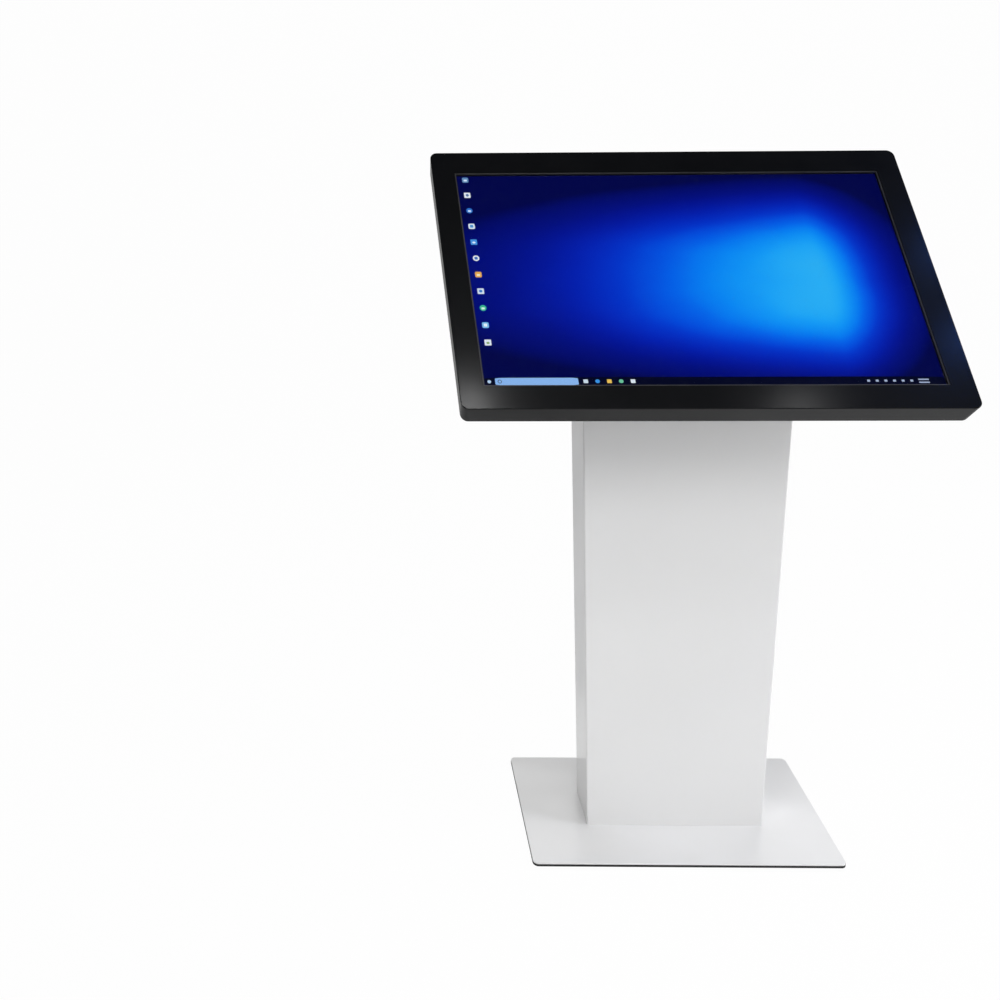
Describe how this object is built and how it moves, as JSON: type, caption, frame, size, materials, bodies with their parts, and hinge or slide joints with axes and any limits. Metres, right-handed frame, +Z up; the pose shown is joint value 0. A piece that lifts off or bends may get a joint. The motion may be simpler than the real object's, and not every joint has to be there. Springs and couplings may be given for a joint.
{
  "type": "touchscreen kiosk",
  "caption": "Free-standing touchscreen kiosk with a tilted landscape display head on a flat folded-steel column with a lockable rear door and a steel base plate.",
  "frame": {"origin": "centre of the underside of the base, on the floor", "axes": "+Z up, the screen and the front of the column face -Y, the rear door faces +Y, +X to the right seen from the front"},
  "size_m": [0.78, 0.3756, 1.2912],
  "materials": {
    "white_paint": "satin white powder coat",
    "black_paint": "semi-gloss black powder coat",
    "dark_paint": "matt dark grey paint",
    "black_rubber": "matt",
    "foam": "closed-cell foam",
    "zinc_steel": "zinc plated",
    "bare_steel": "painted with the column",
    "galvanised_steel": "galvanised sheet",
    "chrome": "polished",
    "brass": "plain",
    "black_plastic": "fine texture",
    "gloss_black_plastic": "gloss",
    "grey_plastic": "matt",
    "cable_black": "round jacket",
    "circuit_board": "solder mask",
    "display": "display cell",
    "glass": "toughened, polished",
    "black_screws": "blackened steel"
  },
  "bodies": {
    "kiosk": {"base_plate": "white_paint", "base_underlay": "black_rubber", "base_bolts": "zinc_steel", "column_shell": "white_paint", "column_foot": "bare_steel", "column_top_plate": "bare_steel", "door_frame": "white_paint", "door_seal": "foam", "hinge_frame_leaves": "zinc_steel", "hinge_pins": "zinc_steel", "hinge_screws": "zinc_steel", "inlet_body": "black_plastic", "inlet_pins": "brass", "equipment_rails": "galvanised_steel", "equipment_plate": "galvanised_steel", "equipment_plate_screws": "zinc_steel", "pc_base": "dark_paint", "pc_cover": "dark_paint", "pc_mainboard": "circuit_board", "psu_case": "galvanised_steel", "psu_cover": "galvanised_steel", "psu_terminals": "black_plastic", "mains_lead": "cable_black", "display_power_cable": "cable_black", "signal_cable": "cable_black", "cable_clips": "grey_plastic", "lead_grommet": "black_rubber", "head_housing": "black_paint", "rear_cover": "black_paint", "rear_cover_screws": "black_screws", "mounting_tray": "galvanised_steel", "mounting_tray_screws": "zinc_steel", "mount_spacers": "zinc_steel", "head_bolts": "zinc_steel", "head_nuts": "zinc_steel", "touch_frame": "black_plastic", "touch_glass": "glass", "screen_gasket": "foam", "lcd_cell": "display", "lcd_backlight": "grey_plastic", "panel_brackets": "galvanised_steel", "bracket_nuts": "zinc_steel", "board_standoffs": "brass", "display_driver_board": "circuit_board", "display_power_board": "circuit_board", "touch_controller": "circuit_board", "left_speaker": "black_plastic", "right_speaker": "black_plastic", "fan_frame": "black_plastic"},
    "door": {"rear_door": "white_paint", "hinge_door_leaves": "zinc_steel", "door_hinge_screws": "zinc_steel", "lock_body": "chrome", "lock_nut": "zinc_steel"},
    "lock": {"lock_plug": "chrome", "lock_cam": "zinc_steel", "lock_cam_screw": "zinc_steel"},
    "rocker": {"rocker_switch": "gloss_black_plastic"},
    "pc_button": {"pc_power_button": "gloss_black_plastic"},
    "fan": {"fan_rotor": "black_plastic"}
  },
  "joints": [
    {"name": "door_hinge", "type": "hinge", "parent": "kiosk", "child": "door", "pos_m": [-0.149, 0.0535, 0.54], "axis": [0, 0, 1], "range_deg": [0, 110]},
    {"name": "lock_turn", "type": "hinge", "parent": "door", "child": "lock", "pos_m": [0.118, 0.05, 0.56], "axis": [0, -1, 0], "range_deg": [0, 90]},
    {"name": "rocker_tilt", "type": "hinge", "parent": "kiosk", "child": "rocker", "pos_m": [0.094, 0.046, 0.045], "axis": [1, 0, 0], "range_deg": [0, 24]},
    {"name": "pc_button_press", "type": "slide", "parent": "kiosk", "child": "pc_button", "axis": [0, -1, 0], "range_m": [0, 0.0015], "stiffness_N_per_m": 600, "springref_m": -0.001},
    {"name": "fan_spin", "type": "hinge", "parent": "kiosk", "child": "fan", "pos_m": [0.2496, 0.08174, 1.17409], "axis": [0, -0.6947, 0.7193], "continuous": true}
  ]
}
